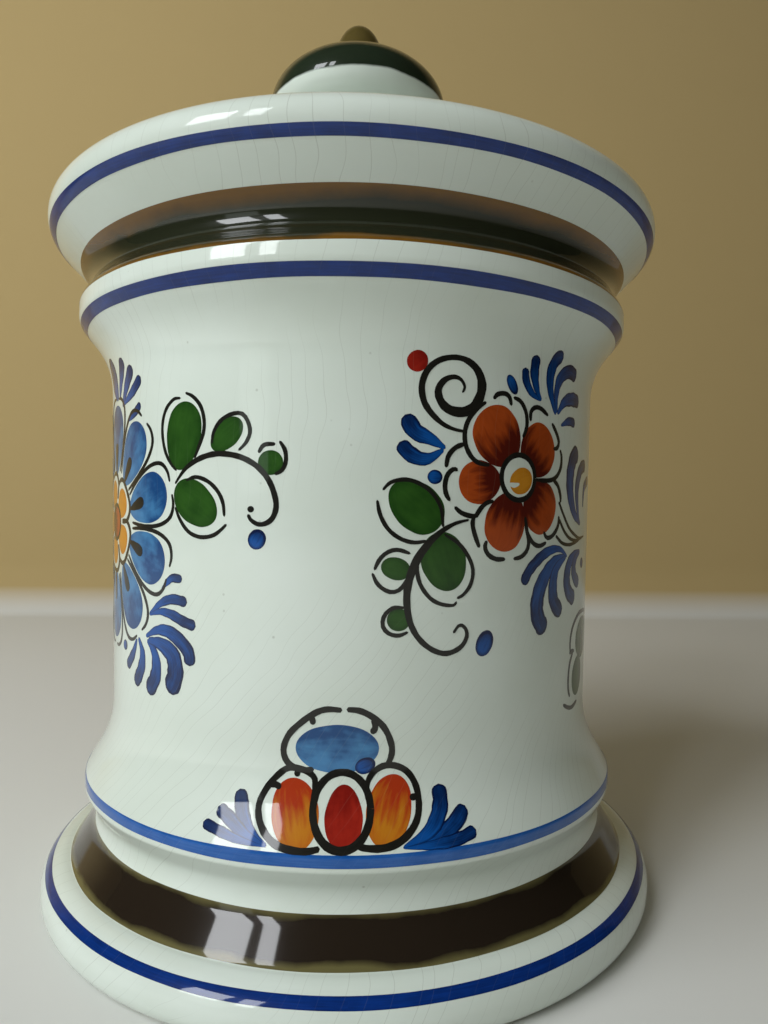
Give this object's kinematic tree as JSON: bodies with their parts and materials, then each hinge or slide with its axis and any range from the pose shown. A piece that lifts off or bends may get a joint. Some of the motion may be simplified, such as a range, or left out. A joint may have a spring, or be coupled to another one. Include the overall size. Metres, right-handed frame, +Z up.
{
  "type": "rumtopf pot",
  "caption": "Round lidded crock with a spreading foot, a groove under its rim and a domed lid that seats in the mouth and lifts off by a mushroom-shaped knob.",
  "frame": {"origin": "centre of the foot ring, on the surface that the pot stands on", "axes": "+Z up along the axis of the pot, -Y towards the side that the picture shows, +X to the right there"},
  "size_m": [0.2, 0.2, 0.2929],
  "materials": {
    "jar_glaze": "glossy pale glaze, finely crazed, with painted bands and flowers",
    "lid_glaze": "glossy pale glaze, finely crazed",
    "knob_glaze": "glossy dark olive glaze over a pale underside"
  },
  "bodies": {
    "jar": {"jar": "jar_glaze"},
    "lid": {"lid": "lid_glaze", "lid_knob": "knob_glaze"}
  },
  "joints": [
    {"name": "lid_lift", "type": "slide", "parent": "jar", "child": "lid", "axis": [0, 0, 1], "range_m": [0, 0.06]}
  ]
}
